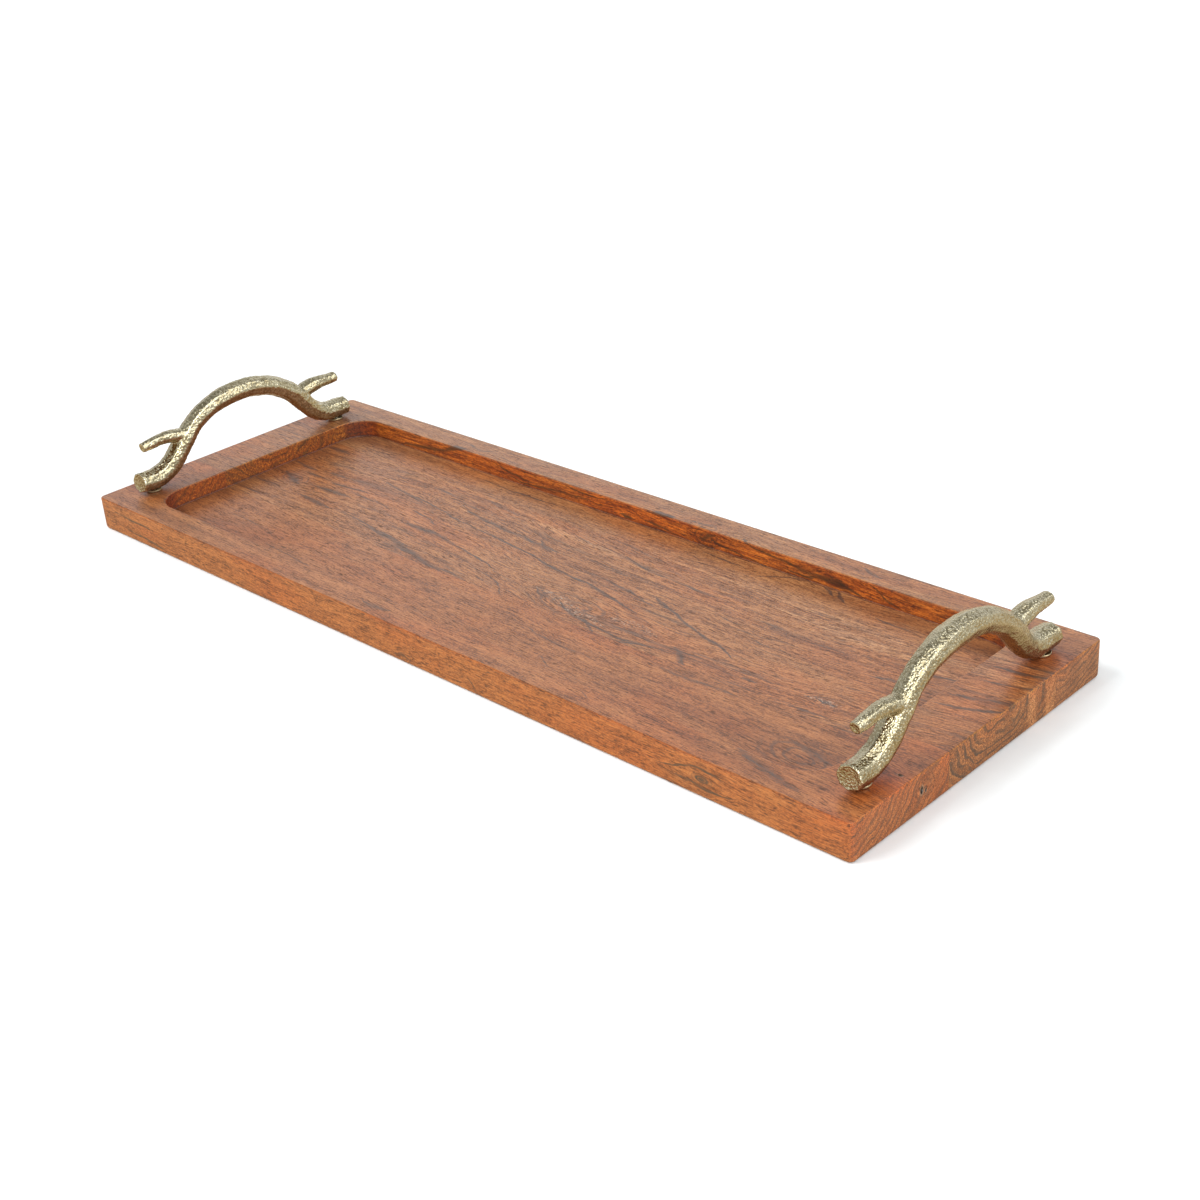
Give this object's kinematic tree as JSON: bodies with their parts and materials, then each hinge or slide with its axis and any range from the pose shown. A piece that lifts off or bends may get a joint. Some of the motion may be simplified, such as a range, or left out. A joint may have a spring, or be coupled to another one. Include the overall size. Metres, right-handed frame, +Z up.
{
  "type": "serving tray",
  "caption": "Long narrow hardwood serving tray with a shallow round-cornered recess and cast brass branch-shaped end handles.",
  "frame": {"origin": "centre of the board's underside, on the surface the tray stands on", "axes": "+X along the board towards the right-hand handle, +Y across the board towards the narrow stave, +Z up"},
  "size_m": [0.508, 0.178, 0.0619],
  "materials": {
    "acacia_front": "satin",
    "acacia_centre": "satin",
    "acacia_back": "satin",
    "cast_brass": "hammered, satin",
    "zinc_steel": "zinc plated"
  },
  "bodies": {
    "root": {"stave_front": "acacia_front", "stave_centre": "acacia_centre", "stave_back": "acacia_back", "handle_left": "cast_brass", "handle_right": "cast_brass", "foot_spacer_left_near": "cast_brass", "foot_spacer_left_far": "cast_brass", "foot_spacer_right_near": "cast_brass", "foot_spacer_right_far": "cast_brass", "screw_left_near": "zinc_steel", "screw_left_far": "zinc_steel", "screw_right_near": "zinc_steel", "screw_right_far": "zinc_steel", "screw_washer_left_near": "zinc_steel", "screw_washer_left_far": "zinc_steel", "screw_washer_right_near": "zinc_steel", "screw_washer_right_far": "zinc_steel"}
  },
  "joints": []
}
